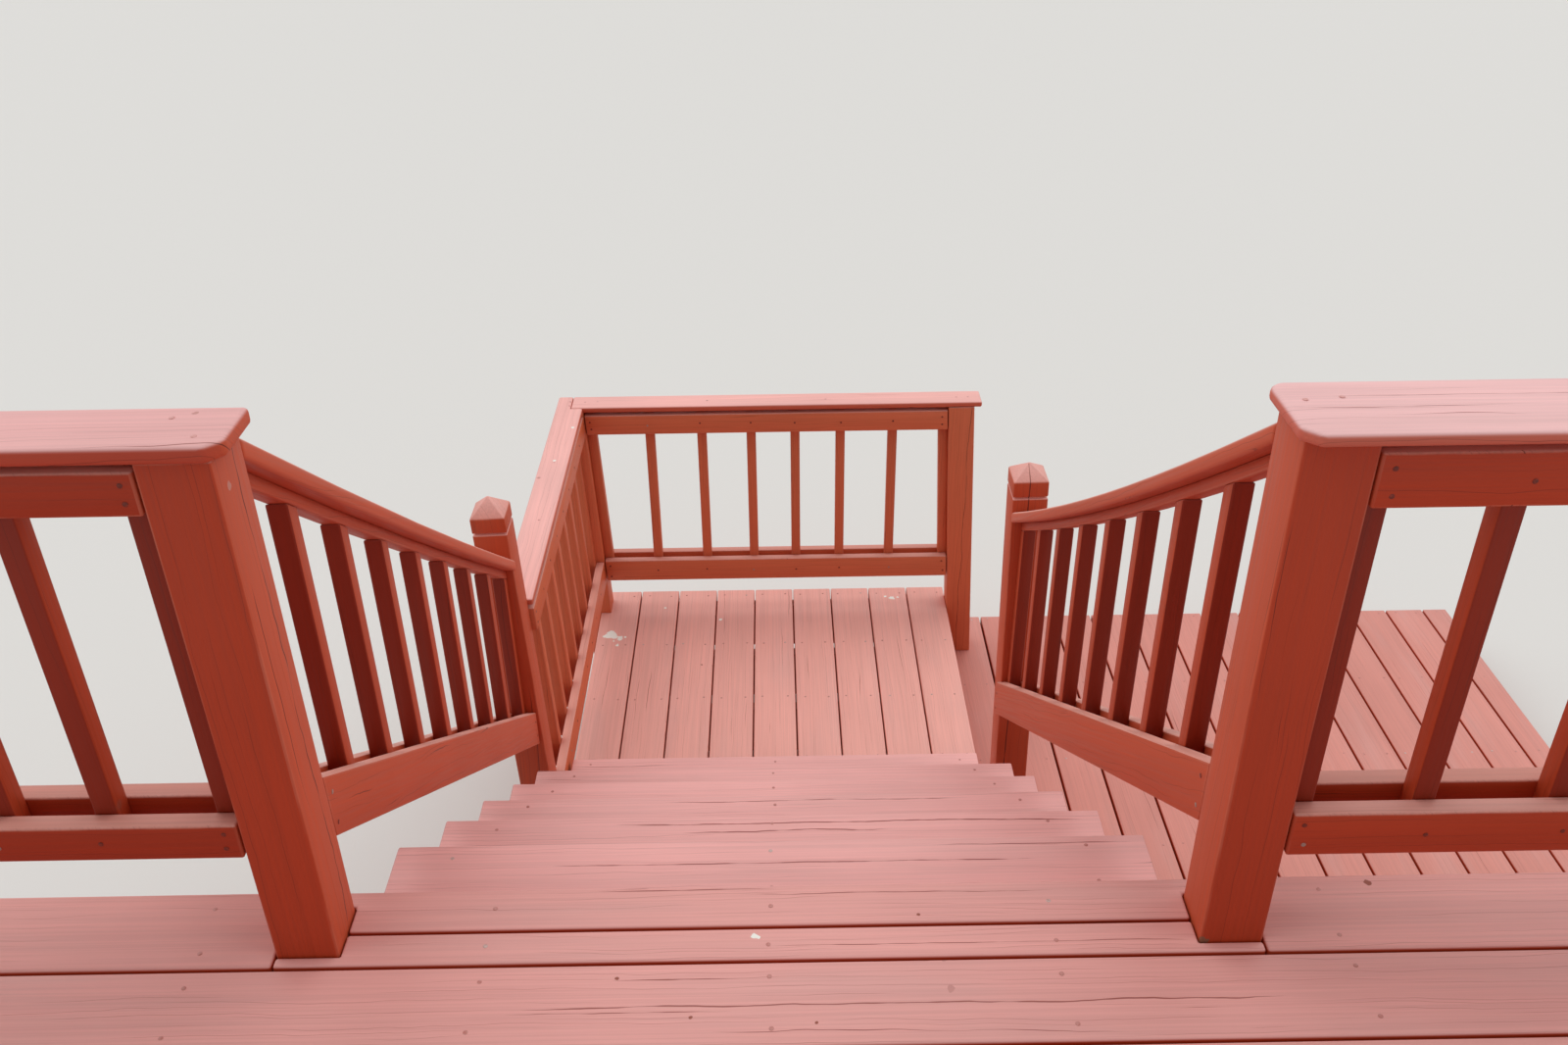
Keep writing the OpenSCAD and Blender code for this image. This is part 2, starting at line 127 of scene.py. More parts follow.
# Figure of the wood: how often it changes in a metre across and along the grain, its detail and
# roughness. Latewood lines lie about 4 mm apart on a plank's face, and its broad bands about 30 mm.
STREAKS = (230.0, 2.2, 4.0, 0.6)
BANDS = (34.0, 0.9, 2.0)
# Dust lies in strips of some 80 mm, corners are rubbed bare in strips of some 70 mm, and lines
# wander off the grain by up to 22 mm either way
DUST = (12.0, 1.8, 4.0)
RUBBING = (14.0, 5.0)
WANDERING = (5.0, 2.1, 4.0)
DRIFT = (0.0, 1.0, -0.0225, 0.0225)
# Wear that doesn't follow the grain, in patches of some 400 mm
PATCHES = {"Scale": 2.4, "Detail": DETAIL}
# How far apart the patterns of two boards are taken from, at most
BOARD_APART = 23.0

# Knots some 0.4 m apart, brown out to 5 mm from their middle and gone at 10 mm
KNOTS_PER_M = 2.6
KNOT = (0.012, 0.026, 0.6, 0.0)

# Lines in the wood: width of the strip that holds one at most, half width, how rare and how strong.
# Drying checks are a millimetre or two wide. Hairlines between the latewood lines are finer than a
# pixel, so they are drawn a millimetre wide.
CHECKS = (0.041, 0.0011, 0.575, 0.85)
HAIRS = (0.0085, 0.0006, 0.50, 0.36)
# Part of the strip that a line's middle may lie in, how often a line starts and stops in a metre
# and from strip to strip, how soon it opens, and the share of its half width that is fully dark
LINE_IN_STRIP = (0.25, 0.75)
LINE_RUNS = (1.9, 7.31, 1.0)
LINE_OPENS = 0.11
LINE_CORE = 0.45

# Long cracks change course over some 220 mm, narrow to a quarter over some 80 mm, and taper at
# their ends. The patterns of two are taken 60 times as far apart as the cracks lie.
CRACK_COURSE = {"Scale": 4.5, "Detail": 4.0}
CRACK_NARROWING = {"Scale": 13.0, "Detail": 2.0}
CRACK_NARROWS = (0.30, 0.55)
CRACK_NARROWEST = 0.25
CRACK_TAPER = 0.08
CRACK_STRENGTH = 0.85
CRACKS_APART = 60.0
# A face whose normal has more of an axis than this looks that way
FACING = 0.3

# Spots waver in lumps of 1.7 times their radius, and are soft in the last fifth of it
SPOT_LUMPS = 0.6
SPOT_WAVER = 1.2
SPOT_CORE = 0.82


class Grain:
    """Patterns of one stained board, stretched along its grain, which differ from board to board."""

    def __init__(self, tree, axis, slope):
        self.tree = tree
        self.axis = axis
        self.place = add(tree, "TexCoord").outputs["Object"]
        geometry = add(tree, "NewGeometry")
        self.facing = add(tree, "SeparateXYZ", [geometry.outputs["Normal"]])
        self.board = geometry.outputs["Random Per Island"]
        moved = add(tree, "VectorMath", [self.board, [BOARD_APART] * 3, self.place], operation="MULTIPLY_ADD")
        self.turned = add(tree, "Mapping", {"Vector": moved, "Rotation": (slope, 0.0, 0.0)})

    def figure(self, across, along, detail=DETAIL, rough=0.55):
        """Noise drawn out along the grain."""
        tree = self.tree
        scale = [across] * 3
        scale[self.axis] = along
        drawn = add(tree, "Mapping", {"Vector": self.turned, "Scale": scale})
        return add(tree, "TexNoise", {"Vector": drawn, "Scale": 1.0, "Detail": detail, "Roughness": rough})

    def lines(self, strip_w, half_width, rare, strength):
        """Mask of thin lines along the grain, one in each strip at most, which wander and fade out."""
        tree = self.tree
        point = add(tree, "SeparateXYZ", [self.turned])
        # The sum of both cross coordinates changes across every face that the grain runs along
        across = add(tree, "Math", [point.outputs[i] for i in range(3) if i != self.axis], operation="ADD")
        drift = add(tree, "MapRange", [self.figure(*WANDERING), *DRIFT], clamp=False)
        drifted = add(tree, "Math", [across, drift], operation="ADD")
        inside = add(tree, "Math", [drifted, strip_w], operation="FLOORED_MODULO")
        strips = add(tree, "Math", [drifted, strip_w], operation="DIVIDE")
        strip = add(tree, "Math", [strips], operation="FLOOR")

        dice = add(tree, "TexWhiteNoise", {"W": strip}, noise_dimensions="1D")
        centre = add(tree, "MapRange", [dice, 0.0, 1.0, *(share * strip_w for share in LINE_IN_STRIP)])
        off = add(tree, "Math", [inside, centre], operation="SUBTRACT")
        run = add(tree, "CombineXYZ", [point.outputs[self.axis], strip])
        spread = add(tree, "Mapping", {"Vector": run, "Scale": LINE_RUNS})
        there = add(tree, "TexNoise", {"Vector": spread, "Scale": 1.0, "Detail": DETAIL})
        width = add(tree, "MapRange", [there, rare, rare + LINE_OPENS, 0.0, half_width], **SMOOTH)
        return self.thin(off, width, strength)

    def thin(self, off, half_width, strength):
        """Mask of a line, from how far a point is off its middle and its half width there."""
        away = add(self.tree, "Math", [off], operation="ABSOLUTE")
        core = add(self.tree, "Math", [half_width, LINE_CORE], operation="MULTIPLY")
        return add(self.tree, "MapRange", [away, core, half_width, strength, 0.0], **SMOOTH)

    def knots(self):
        """Mask of a few small round knots."""
        cells = add(self.tree, "TexVoronoi", {"Vector": self.turned, "Scale": KNOTS_PER_M})
        return add(self.tree, "MapRange", [cells, *KNOT], **SMOOTH)

    def spot(self, centre, radius, ragged):
        """Mask of a ragged round mark of a radius about a centre."""
        tree = self.tree
        scale = SPOT_LUMPS / radius
        reach = SPOT_WAVER * ragged * radius
        lumps = add(tree, "TexNoise", {"Vector": self.place, "Scale": scale, "Detail": DETAIL})
        waver = add(tree, "MapRange", [lumps, 0.0, 1.0, -reach, reach], clamp=False)
        span = add(tree, "VectorMath", [self.place, centre], operation="DISTANCE")
        edge = add(tree, "Math", [span.outputs["Value"], waver], operation="ADD")
        return add(tree, "MapRange", [edge, radius * SPOT_CORE, radius, 1.0, 0.0], **SMOOTH)

    def crack(self, lie, middle, wander, half_width, span):
        """Mask of one long crack on a face, which wanders about a middle line between two ends."""
        tree = self.tree
        along, across, face, side = lie
        point = add(tree, "SeparateXYZ", [self.place])
        run = add(tree, "CombineXYZ", [point.outputs[along], middle * CRACKS_APART])
        course = add(tree, "TexNoise", {"Vector": run, **CRACK_COURSE})
        strip = (middle - wander / 2, middle + wander / 2)
        line = add(tree, "MapRange", [course, 0.0, 1.0, *strip], clamp=False)
        off = add(tree, "Math", [point.outputs[across], line], operation="SUBTRACT")

        narrowing = add(tree, "TexNoise", {"Vector": run, **CRACK_NARROWING})
        widths = (CRACK_NARROWEST * half_width, half_width)
        width = add(tree, "MapRange", [narrowing, *CRACK_NARROWS, *widths], **SMOOTH)
        for end, taper in zip(span, (CRACK_TAPER, -CRACK_TAPER)):
            opened = add(tree, "MapRange", [point.outputs[along], end, end + taper])
            width = add(tree, "Math", [width, opened], operation="MULTIPLY")
        looks = add(tree, "Math", [self.facing.outputs[face], side * FACING],
                    operation="GREATER_THAN" if side > 0 else "LESS_THAN")
        return add(tree, "Math", [self.thin(off, width, CRACK_STRENGTH), looks], operation="MULTIPLY")


# Exterior softwood under a solid stain. The stain lies in the grain, so the wood's streaks and
# checks show through it. Rain and sun have chalked the upward faces pale, and their top colours
# also hold a painted reflection of the bright sky. Hands and weather have worn the corners. Each
# group has a colour for its tops, for its sides and for the faces towards the raised deck, which
# hold painted shade, mostly darker. The groups further out, the landing and the lower posts, are
# painted lighter for the open sky over them, and the landing boards' sides so that the shaded
# gaps between them show reddish.
STAIN = "#B43C19"
SIDE_STAIN = "#BE4E2E"
FINISHES = {
    "left_cap": ("#E9AEAA", SIDE_STAIN, "#B8452C"),
    "right_cap": ("#F1BEBB", "#CC6450", "#CB6853"),
    "landing_cap": ("#F6B7AE", "#CB6146", "#CB6146"),
    "deck": ("#E5A39B", STAIN, STAIN),
    "tread": ("#F1B2AC", STAIN, STAIN),
    "landing": ("#EEAC9F", "#E08C78", "#E08C78"),
    "low_deck": ("#D68C7F", STAIN, STAIN),
    "landing_rail": ("#DC9585", "#CC6139", "#D36E49"),
    "lower_post": ("#EDAA9E", "#BC4B28", "#BA4622"),
    "handrail": ("#EFB5A6", "#C45535", STAIN),
    "stick": ("#C98373", "#B5431F", "#8C270C"),
    "left_rail": ("#D99687", SIDE_STAIN, "#A83310"),
    "rail": ("#D99687", SIDE_STAIN, STAIN),
}
TREADS = [f"tread_{i}" for i in range(1, 7)]
GROUPS = {
    "left_cap": ["guard_cap_left"],
    "right_cap": ["guard_cap_right"],
    "landing_cap": ["landing_caps"],
    "deck": ["deck_boards"],
    "tread": TREADS,
    "landing": ["landing_boards"],
    "low_deck": ["low_deck_boards"],
    "lower_post": ["lower_post_left", "lower_post_right"],
    "left_rail": ["guard_rails_left"],
    "handrail": ["handrail_left", "handrail_right"],
    "stick": [
        "guard_balusters_left", "guard_balusters_right", "stair_balusters_left", "stair_balusters_right",
    ],
    "landing_rail": [
        "landing_corner_post", "landing_end_post", "landing_rails_far", "landing_rails_left",
        "landing_balusters_far", "landing_balusters_left",
    ],
}
GROUP_OF = {node: group for group, members in GROUPS.items() for node in members}
CRACK_ON_TOP = "#8C4236"
CRACK_ON_SIDE = "#4A1408"
KNOT_BROWN = "#9A5545"
DUSTY_TOP = "#CDA59F"
WORN_CORNER = "#C8725A"

# How a pattern or the way that a face looks turns into a tone or a mask: where it starts and
# ends, and the strength at either
STREAK_TONES = (0.32, 0.70, 0.945, 1.05)
BAND_TONES = (0.30, 0.72, 0.978, 1.018)
PATCH_TONES = (0.28, 0.72, 0.965, 1.035)
BOARD_TONES = (0.0, 1.0, 0.975, 1.02)
DUSTY = (0.46, 0.74, 0.0, 0.24)
RUBBED = (0.36, 0.66, 0.0, 0.55)
# Faces towards the raised deck take their group's third colour: painted shade, mostly darker
DECK_SIDE_SHADING = (-0.85, -0.45, 1.0, 0.0)
# Upward faces take the pale top colour: partly chalked stain, partly a painted sky reflection
FADED_AND_SKY_LIT = (0.22, 0.92, 0.0, 1.0)
NOT_FADED_NOR_SKY_LIT = (0.22, 0.92, 0.0, 0.0)

# A stain film is a little glossy in the hollows of the grain and dull on its ridges, which stand
# out by under a millimetre
STREAK_ROUGHNESS = (0.3, 0.7, 0.48, 0.62)
STREAK_DEPTH = 0.0008
STREAK_BUMP = 0.5
STAIN_IOR = 1.42


def new_finish(name):
    """A new material, with its node tree and its shader."""
    material = bpy.data.materials.new(name)
    material.use_nodes = True
    return material, material.node_tree, material.node_tree.nodes["Principled BSDF"]


def stained_wood(name, axis, group, slope=0.0, marks=(), cracks=(), worn=False, fades=True):
    """Solid-stained wood whose grain runs along one axis, or down the flight's slope."""
    material, tree, shader = new_finish(name)
    grain = Grain(tree, axis, slope)
    top, side, deck_side_shade = FINISHES[group]
    streaks = grain.figure(*STREAKS)

    # Painted shade on the faces towards the raised deck
    deck_shade_mask = add(tree, "MapRange", [grain.facing.outputs[1], *DECK_SIDE_SHADING], **SMOOTH)
    coats = [(deck_shade_mask, deck_side_shade)]
    if worn:
        rubbed = add(tree, "MapRange", [grain.figure(*RUBBING), *RUBBED], **SMOOTH)
        coats.append((rubbed, WORN_CORNER))
    dusty = add(tree, "MapRange", [grain.figure(*DUST), *DUSTY], **SMOOTH)
    # Pale tops, partly fade and partly painted sky reflection
    faded_and_sky_lit = add(tree, "MapRange", [grain.facing.outputs[2], *(FADED_AND_SKY_LIT if fades else NOT_FADED_NOR_SKY_LIT)], **SMOOTH)
    coats.append((faded_and_sky_lit, paint(tree, top, [(dusty, DUSTY_TOP)])))
    surface = paint(tree, side, coats)

    patches = add(tree, "TexNoise", {"Vector": grain.turned, **PATCHES})
    for pattern, tones in ((grain.figure(*BANDS), BAND_TONES), (streaks, STREAK_TONES),
                           (patches, PATCH_TONES), (grain.board, BOARD_TONES)):
        tone = add(tree, "MapRange", [pattern, *tones], **SMOOTH)
        surface = add(tree, "VectorMath", {0: surface, "Scale": tone}, operation="SCALE")

    open_grain = grain.lines(*HAIRS)
    for mask in [grain.lines(*CHECKS)] + [grain.crack(*crack) for crack in cracks]:
        open_grain = add(tree, "Math", [open_grain, mask], operation="MAXIMUM")
    coats = [(grain.knots(), KNOT_BROWN), (open_grain, paint(tree, CRACK_ON_SIDE, [(faded_and_sky_lit, CRACK_ON_TOP)]))]
    coats += [(grain.spot(centre, radius, ragged), code) for centre, radius, code, ragged in marks]

    feed(tree, shader, {
        "Base Color": paint(tree, surface, coats),
        "Roughness": add(tree, "MapRange", [streaks, *STREAK_ROUGHNESS], **SMOOTH),
        "IOR": STAIN_IOR,
        "Normal": add(tree, "Bump", {"Strength": STREAK_BUMP, "Distance": STREAK_DEPTH, "Height": streaks}),
    })
    return material


# Marks of use, by centre, radius, colour and raggedness: droppings, smears, a chip in the stain
# and a damp post foot
DROPPING = "#F1F0E6"
DAMP = "#86563F"
SMEAR = "#C98E86"
CHIPPED = "#BC7A6B"
DECK_TOP = 1.778
LANDING_TOP = 0.378
LANDING_CAP_TOP = 1.233
MARKS = {
    "landing_boards": [
        ((-0.600, 1.836, LANDING_TOP), 0.021, DROPPING, 1.3),
        ((-0.583, 1.822, LANDING_TOP), 0.011, DROPPING, 1.2),
        ((-0.562, 1.815, LANDING_TOP), 0.012, DROPPING, 1.1),
        ((-0.545, 1.823, LANDING_TOP), 0.006, DROPPING, 0.8),
        ((-0.569, 1.773, LANDING_TOP), 0.008, DROPPING, 0.9),
        ((-0.585, 1.798, LANDING_TOP), 0.004, DROPPING, 0.6),
        ((-0.410, 2.005, LANDING_TOP), 0.005, DROPPING, 0.6),
        ((-0.200, 1.923, LANDING_TOP), 0.007, DROPPING, 0.9),
        ((0.448, 2.047, LANDING_TOP), 0.010, DROPPING, 1.1),
        ((0.424, 2.058, LANDING_TOP), 0.006, DROPPING, 0.8),
        ((0.470, 2.052, LANDING_TOP), 0.005, DROPPING, 0.8),
        ((-0.258, 1.647, LANDING_TOP), 0.004, KNOT_BROWN, 0.6),
    ],
    "deck_boards": [
        ((-0.023, -0.858, DECK_TOP), 0.0055, DROPPING, 0.9),
        ((-0.017, -0.860, DECK_TOP), 0.0040, DROPPING, 0.7),
        ((0.888, -0.775, DECK_TOP), 0.0060, KNOT_BROWN, 0.8),
        ((-0.107, -0.996, DECK_TOP), 0.0030, KNOT_BROWN, 0.5),
        ((-0.212, -0.929, DECK_TOP), 0.0032, KNOT_BROWN, 0.5),
        ((0.062, -1.008, DECK_TOP), 0.0028, KNOT_BROWN, 0.5),
        ((0.245, -0.905, DECK_TOP), 0.0042, SMEAR, 0.8),
        ((0.248, -0.955, DECK_TOP), 0.0060, SMEAR, 0.9),
        ((0.216, -0.822, DECK_TOP), 0.0032, KNOT_BROWN, 0.5),
    ],
    "landing_caps": [
        ((-0.690, 1.600, LANDING_CAP_TOP), 0.006, DROPPING, 0.8),
        ((-0.657, 1.830, LANDING_CAP_TOP), 0.006, DROPPING, 1.0),
    ],
    "guard_cap_left": [((-0.650, -0.800, 2.593), 0.004, SMEAR, 0.8)],
    "upper_post_right": [((0.612, -0.879, 1.779), 0.008, DAMP, 1.3)],
    "upper_post_left": [((-0.610, -0.850, 2.523), 0.006, CHIPPED, 1.2)],
}
# How a crack lies: the axes along it and across it, and the axis and side of its face
ON_TOP = (0, 1, 2, 1)
ON_DECK_FACE = (2, 0, 1, -1)
ON_STAIR_FACE = (2, 1, 0, 1)
# Long drying cracks: how each lies, its middle, wander, half width and two ends. Some run the
# whole length of a post.
WHOLE_LENGTH = (-9.0, 9.0)
CRACKS = {
    "upper_post_left": [(ON_STAIR_FACE, -0.820, 0.052, 0.0016, WHOLE_LENGTH)],
    "lower_post_right": [(ON_DECK_FACE, 0.651, 0.010, 0.0021, WHOLE_LENGTH)],
    "landing_end_post": [(ON_DECK_FACE, 0.690, 0.030, 0.0011, WHOLE_LENGTH)],
    "guard_cap_right": [
        (ON_TOP, -0.836, 0.012, 0.0010, (0.60, 0.86)),
        (ON_TOP, -0.806, 0.010, 0.0008, (0.66, 1.05)),
    ],
    "deck_boards": [
        (ON_TOP, -0.978, 0.020, 0.0017, (-0.34, 0.70)),
        (ON_TOP, -0.933, 0.006, 0.0017, (-0.22, -0.04)),
        (ON_TOP, -0.987, 0.014, 0.0011, (-0.36, -0.05)),
        (ON_TOP, -0.876, 0.010, 0.0010, (0.00, 0.62)),
        (ON_TOP, -0.768, 0.006, 0.0014, (-0.27, 0.01)),
        (ON_TOP, -0.778, 0.014, 0.0011, (-0.05, 0.42)),
    ],
    "tread_1": [
        (ON_TOP, -0.515, 0.012, 0.0018, (-0.38, 0.46)),
        (ON_TOP, -0.480, 0.014, 0.0014, (0.28, 0.64)),
    ],
    "tread_2": [
        (ON_TOP, -0.208, 0.018, 0.0022, (-0.32, 0.62)),
        (ON_TOP, -0.229, 0.026, 0.0021, (-0.18, 0.24)),
    ],
    "tread_3": [(ON_TOP, 0.074, 0.016, 0.0015, (-0.24, 0.44))],
}
# Slope of the stair rails and stringers, which their grain follows
SLOPE = math.radians(35.5)

woods = {}


def wood(name, axis, slope=0.0, **part):
    """The stained wood of a node, shared by all nodes of a group that have no marks of their own."""
    group = GROUP_OF.get(name, "rail")
    own = name if name in MARKS or name in CRACKS else group
    key = "_".join(["stained", own, "along", "slope" if slope else "xyz"[axis]] + sorted(part))
    if key not in woods:
        woods[key] = stained_wood(key, axis, group, slope, MARKS.get(name, ()), CRACKS.get(name, ()), **part)
    return woods[key]


# Stain is left on nail heads in spots of some 4 mm
NAIL_SPOTS = {"Scale": 260.0, "Detail": 2.0}
NAIL_STAINED = (0.45, 0.65, 0.0, 0.35)
NAIL_ROUGHNESS = 0.5


def nail_finish(name, code, metal):
    """Galvanised steel nail head, dull and with stain left on it in spots."""
    material, tree, shader = new_finish(name)
    place = add(tree, "TexCoord").outputs["Object"]
    spots = add(tree, "TexNoise", {"Vector": place, **NAIL_SPOTS})
    stained = add(tree, "MapRange", [spots, *NAIL_STAINED], **SMOOTH)
    feed(tree, shader, {
        "Base Color": paint(tree, code, [(stained, STAIN)]),
        "Metallic": metal,
        "Roughness": NAIL_ROUGHNESS,
    })
    return material


def pick(*pieces):
    """Leaves some pieces selected and the first one active, in object mode."""
    bpy.ops.object.select_all(action="DESELECT")
    for piece in pieces:
        piece.select_set(True)
    bpy.context.view_layer.objects.active = pieces[0]


def boards_in(mesh):
    """Polygons of each board in a mesh, which hang together, as lists of their numbers."""
    parent = list(range(len(mesh.vertices)))

    def root(v):
        while parent[v] != v:
            parent[v] = parent[parent[v]]
            v = parent[v]
        return v

    for edge in mesh.edges:
        a, b = root(edge.vertices[0]), root(edge.vertices[1])
        parent[a] = b
    boards = {}
    for polygon in mesh.polygons:
        boards.setdefault(root(polygon.vertices[0]), []).append(polygon.index)
    return list(boards.values())


def box_of(mesh, polygons):
    """Lowest and highest corner of some polygons."""
    points = [mesh.vertices[v].co for p in polygons for v in mesh.polygons[p].vertices]
    low = Vector(min(p[i] for p in points) for i in range(3))
    high = Vector(max(p[i] for p in points) for i in range(3))
    return low, high


def longest(size):
    """Axis of the longest side."""
    return max(range(3), key=lambda i: size[i])


# Frames that are one solid, where each face has the grain of its own board
JOINED = {"deck_rims", "landing_frame", "low_deck_frame"}
SLOPED = {
    "stringer_left", "stringer_middle", "stringer_right", "handrail_left", "handrail_right",
    "subrail_left", "subrail_right", "bottom_rails_left", "bottom_rails_right",
}
FRAMING = {
    "deck_rims", "deck_joists", "deck_legs", "stair_header", "landing_frame", "landing_legs",
    "low_deck_frame", "stringer_left", "stringer_middle", "stringer_right",
}
BOARDS = {"deck", "tread", "landing", "low_deck"}
# The saw groove round a hipped post lies this far under its tip, or more. Its lower face looks up,
# but is painted shade: it takes the darker side colour, not the tops' fade and sky reflection.
GROOVED = {"lower_post_left", "lower_post_right"}
GROOVE_UNDER_TIP = 0.065
LOOKS_UP = 0.5
# Planks come planed with rounded edges. The caps are sanded rounder, and the handrails to fit a
# hand. Each kind has its radius and how many facets round it.
EDGES = {"handrail": (0.0065, 3), "cap": (0.0060, 3), "board": (0.0045, 3), "rail": (0.0032, 2)}
EDGE_ANGLE = math.radians(25)
SMOOTH_ANGLE = math.radians(30)
# A CAD node's loose triangles are merged into boards with flat faces
SAME_CORNER = 1e-5
SAME_FACE = math.radians(0.3)

solids = {}
surfaces = {}


def kind_of(name):
    """Kind of edge that a node's lumber has."""
    group = GROUP_OF.get(name, "rail")
    if group in BOARDS:
        return "board"
    if group.endswith("cap"):
        return "cap"
    return "handrail" if group == "handrail" else "rail"


def give_grain(name, mesh, boards):
    """Material of each face: the grain runs down the longest side of the board that it is on."""
    mesh.materials.clear()
    slope = SLOPE if name in SLOPED else 0.0
    for axis in [1] if slope else range(3):
        mesh.materials.append(wood(name, axis, slope))
    for board, (low, high) in zip(boards, solids[name]):
        for p in board:
            if name in JOINED:
                low, high = box_of(mesh, [p])
            mesh.polygons[p].material_index = 0 if slope else longest(high - low)
    if name in GROOVED:
        mesh.materials.append(wood(name, 2, fades=False))
        tip = max(v.co.z for v in mesh.vertices)
        for polygon in mesh.polygons:
            if polygon.normal.z > LOOKS_UP and polygon.center.z < tip - GROOVE_UNDER_TIP:
                polygon.material_index = len(mesh.materials) - 1


def ease_edges(name, piece):
    """Rounds the lumber's edges, which are worn on rails and posts."""
    kind = kind_of(name)
    bevel = piece.modifiers.new("eased_edges", "BEVEL")
    bevel.width, bevel.segments = EDGES[kind]
    bevel.limit_method = "ANGLE"
    bevel.angle_limit = EDGE_ANGLE
    bevel.use_clamp_overlap = True
    if kind == "rail" and name not in FRAMING and GROUP_OF.get(name) != "stick":
        slope = SLOPE if name in SLOPED else 0.0
        piece.data.materials.append(wood(name, 1 if slope else 2, slope, worn=True))
        bevel.material = len(piece.data.materials) - 1
    bpy.ops.object.modifier_apply(modifier=bevel.name)
    bpy.ops.object.shade_smooth_by_angle(angle=SMOOTH_ANGLE)


def dress(name):
    """Shows a CAD node as the same lumber with planed, eased edges."""
    piece = nodes[name].copy()
    piece.data = nodes[name].data.copy()
    piece.name = name + "_lumber"
    piece.parent = None
    piece.matrix_world = Matrix.Identity(4)
    bpy.context.scene.collection.objects.link(piece)
    # What the frame notes on its own node isn't true of the copy
    for key in list(piece.keys()):
        del piece[key]
    pick(piece)
    bpy.ops.object.mode_set(mode="EDIT")
    bpy.ops.mesh.select_all(action="SELECT")
    bpy.ops.mesh.remove_doubles(threshold=SAME_CORNER)
    bpy.ops.mesh.dissolve_limited(angle_limit=SAME_FACE)
    bpy.ops.object.mode_set(mode="OBJECT")
    boards = boards_in(piece.data)
    solids[name] = [box_of(piece.data, board) for board in boards]
    give_grain(name, piece.data, boards)
    ease_edges(name, piece)
    surfaces[name] = BVHTree.FromPolygons([v.co.copy() for v in piece.data.vertices],
                                          [list(p.vertices) for p in piece.data.polygons])
    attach(piece, "root")
    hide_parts(name)


for node_name in sorted(nodes):
    dress(node_name)

# Nail heads: 7 mm across and slightly domed, most of them flush under the stain
NAIL_R = 0.0035
NAIL_RISE = 0.0010
NAIL_SIDES = 9
# Share of the rise that is rim, and the dome's slope as a share of the radius
NAIL_RIM = 0.6
NAIL_SLOPE = 0.35
NAIL_SMOOTH_ANGLE = math.radians(40)
# Nails stray from their line, are sunk unevenly, and some have lost their stain
NAIL_STRAY = 0.004
NAIL_SUNK = (-0.0005, 0.0002)
BARE_SHARE = 0.14
# A nail is looked for along a line that starts this far out, and only goes into a face that looks out
SEEK_FROM = 0.05
SEEK_LENGTH = 0.12
LOOKS_OUT = 0.9
# Finishes of the stained heads and of the bare ones. The stained heads on tops and caps are as
# pale as those tops, partly fade and partly painted sky reflection.
TOP_NAILS = (nail_finish("stained_nail_on_top", "#C58980", 0.0),
             nail_finish("bare_nail_on_top", "#CDB4AC", 0.3))
CAP_NAILS = (nail_finish("stained_nail_on_cap", "#D99F98", 0.0),
             nail_finish("bare_nail_on_cap", "#B9837A", 0.2))
SIDE_NAILS = (nail_finish("stained_nail_on_side", "#6A2213", 0.0),
              nail_finish("bare_nail_on_side", "#A3938A", 0.5))


def nail_shape():
    """One nail head at the origin, looking up: a disc whose rim is inset and lifted to a dome."""
    bpy.ops.object.select_all(action="DESELECT")
    bpy.ops.mesh.primitive_circle_add(vertices=NAIL_SIDES, radius=NAIL_R, fill_type="NGON")
    head = bpy.context.object
    bpy.ops.object.mode_set(mode="EDIT")
    bpy.ops.mesh.select_all(action="SELECT")
    bpy.ops.mesh.extrude_region_move(TRANSFORM_OT_translate={"value": (0.0, 0.0, NAIL_RISE * NAIL_RIM)})
    bpy.ops.mesh.inset(thickness=NAIL_R * NAIL_SLOPE, depth=NAIL_RISE * (1 - NAIL_RIM))
    bpy.ops.object.mode_set(mode="OBJECT")
    shape = head.data
    bpy.data.objects.remove(head)
    return shape


NAIL_HEAD = nail_shape()


def nails(name, finishes, places):
    """Joins the nail heads of a group; a place is a point, the outward normal and the dressed node."""
    heads = []
    for origin, outward, node in places:
        outward = Vector(outward)
        stray = Vector(random.uniform(-NAIL_STRAY, NAIL_STRAY) * (1 - abs(n)) for n in outward)
        start = Vector(origin) + outward * SEEK_FROM + stray
        hit, normal, _, _ = surfaces[node].ray_cast(start, -outward, SEEK_LENGTH)
        if hit is None or normal.dot(outward) < LOOKS_OUT:
            continue
        turn = normal.to_track_quat("Z", "Y").to_matrix().to_4x4()
        sunk = random.uniform(*NAIL_SUNK)
        head = bpy.data.objects.new(name, NAIL_HEAD.copy())
        head.data.transform(Matrix.Translation(hit + normal * sunk) @ turn)
        head.data.materials.append(finishes[random.random() < BARE_SHARE])
        bpy.context.scene.collection.objects.link(head)
        heads.append(head)
    pick(*heads)
    bpy.ops.object.join()
    bpy.ops.object.shade_smooth_by_angle(angle=NAIL_SMOOTH_ANGLE)
    piece = heads[0]
    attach(piece, "root")


UP = (0.0, 0.0, 1.0)
# Nails stand this far from a plank's edges and from a rail's end, and a narrow board has one row
NAIL_FROM_EDGE = 0.028
NAIL_FROM_END = 0.018
NARROW_BOARD = 0.095
# Thickness of the joists, and the bays between those of the two frames
JOIST_T = 0.038
LANDING_BAYS = 4
LOW_DECK_BAYS = 7


def middle(box, axis):
    """Middle of a box along an axis."""
    return (box[0][axis] + box[1][axis]) / 2


def joist_lines(node, bays):
    """Middles of evenly spaced joists of a frame, down the flight's direction."""
    low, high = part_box(node)
    return [low.y + JOIST_T / 2 + i * (high.y - low.y - JOIST_T) / bays for i in range(bays + 1)]


